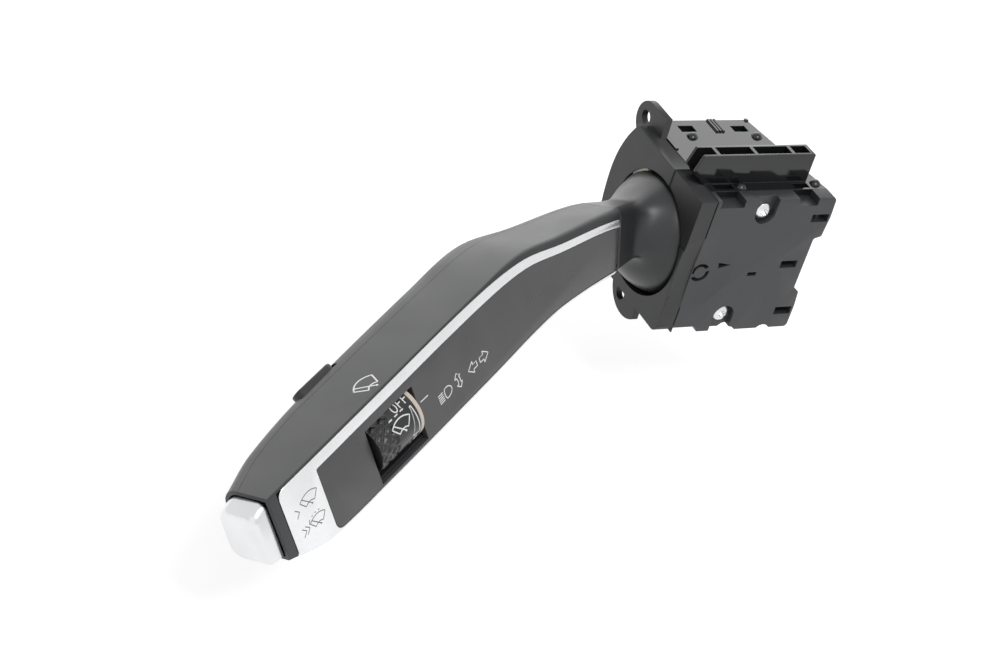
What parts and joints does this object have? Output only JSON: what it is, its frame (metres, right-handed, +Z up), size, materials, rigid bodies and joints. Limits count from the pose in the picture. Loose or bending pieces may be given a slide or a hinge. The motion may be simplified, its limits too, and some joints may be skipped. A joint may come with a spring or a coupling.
{
  "type": "indicator stalk switch",
  "caption": "Steering-column stalk switch: moulded housing with terminals, a two-way gimballed lever, a knurled wiper drum, an end button and a button behind the grip.",
  "frame": {"origin": "middle between the two ear screw holes, on the ears' rear seat face", "axes": "+X along the ear screws, away from the round opening's front plane into the housing; -Y towards the driver and the cover plate; +Z up through the terminal plate"},
  "size_m": [0.2438, 0.1421, 0.0799],
  "materials": {
    "housing_plastic": "fine moulded texture",
    "cover_plastic": "fine moulded texture",
    "plate_plastic": "smooth moulded",
    "blade_brass": "tinned",
    "zinc_screw": "bright zinc",
    "board_laminate": "solder mask",
    "natural_plastic": "natural acetal",
    "blue_plastic": "smooth moulded",
    "steel": "drawn",
    "lever_plastic": "fine grain",
    "core_plastic": "moulded",
    "panel_plastic": "fine grain",
    "satin_trim": "satin metallised plastic",
    "lead_film": "polyimide film",
    "drum_plastic": "satin",
    "cream_plastic": "smooth"
  },
  "bodies": {
    "housing": {"switch_housing": "housing_plastic", "cover_plate": "cover_plastic", "terminal_plate": "plate_plastic", "terminal_blades": "blade_brass", "heat_stakes": "housing_plastic", "cover_screws": "zinc_screw", "circuit_board": "board_laminate", "detent_track": "natural_plastic", "stop_pad": "blue_plastic", "guide_shoe": "natural_plastic"},
    "yoke": {"gimbal_yoke": "natural_plastic", "contact_slider": "blue_plastic", "cross_pin": "steel"},
    "lever": {"lever_neck": "lever_plastic", "lever_arm": "core_plastic", "lever_core": "core_plastic", "detent_plunger": "steel", "detent_spring": "steel", "front_shell": "lever_plastic", "back_shell": "lever_plastic", "front_panel": "panel_plastic", "chrome_trim": "satin_trim", "shell_screws": "zinc_screw", "lever_board": "board_laminate", "board_lead": "lead_film", "drum_cradle": "core_plastic", "drum_spindle": "steel", "drum_detent_leaf": "blade_brass", "button_guide": "core_plastic", "button_spring": "steel", "button_switch": "core_plastic", "rear_switch": "core_plastic"},
    "drum": {"drum_body": "drum_plastic", "drum_ring": "cream_plastic", "drum_cam": "natural_plastic"},
    "end_button": {"end_button": "satin_trim"},
    "rear_button": {"rear_button": "drum_plastic"}
  },
  "joints": [
    {"name": "turn_signal", "type": "hinge", "parent": "housing", "child": "yoke", "pos_m": [0.003, -0.017, 0.00075], "axis": [0, 1, 0], "range_deg": [-8, 8]},
    {"name": "flash", "type": "hinge", "parent": "yoke", "child": "lever", "pos_m": [0.003, -0.017, 0.00075], "axis": [0, 0, 1], "range_deg": [0, 8], "stiffness_Nm_per_rad": 2},
    {"name": "wiper_drum", "type": "hinge", "parent": "lever", "child": "drum", "pos_m": [-0.13734, -0.09089, -0.01425], "axis": [-0.8127, -0.5178, -0.2672], "range_deg": [-25, 50]},
    {"name": "end_press", "type": "slide", "parent": "lever", "child": "end_button", "axis": [0.8127, 0.5178, 0.2672], "range_m": [0, 0.0025], "stiffness_N_per_m": 600, "deforming": ["button_spring"]},
    {"name": "rear_press", "type": "slide", "parent": "lever", "child": "rear_button", "axis": [0.582, -0.7434, -0.3296], "range_m": [0, 0.001], "stiffness_N_per_m": 500}
  ]
}
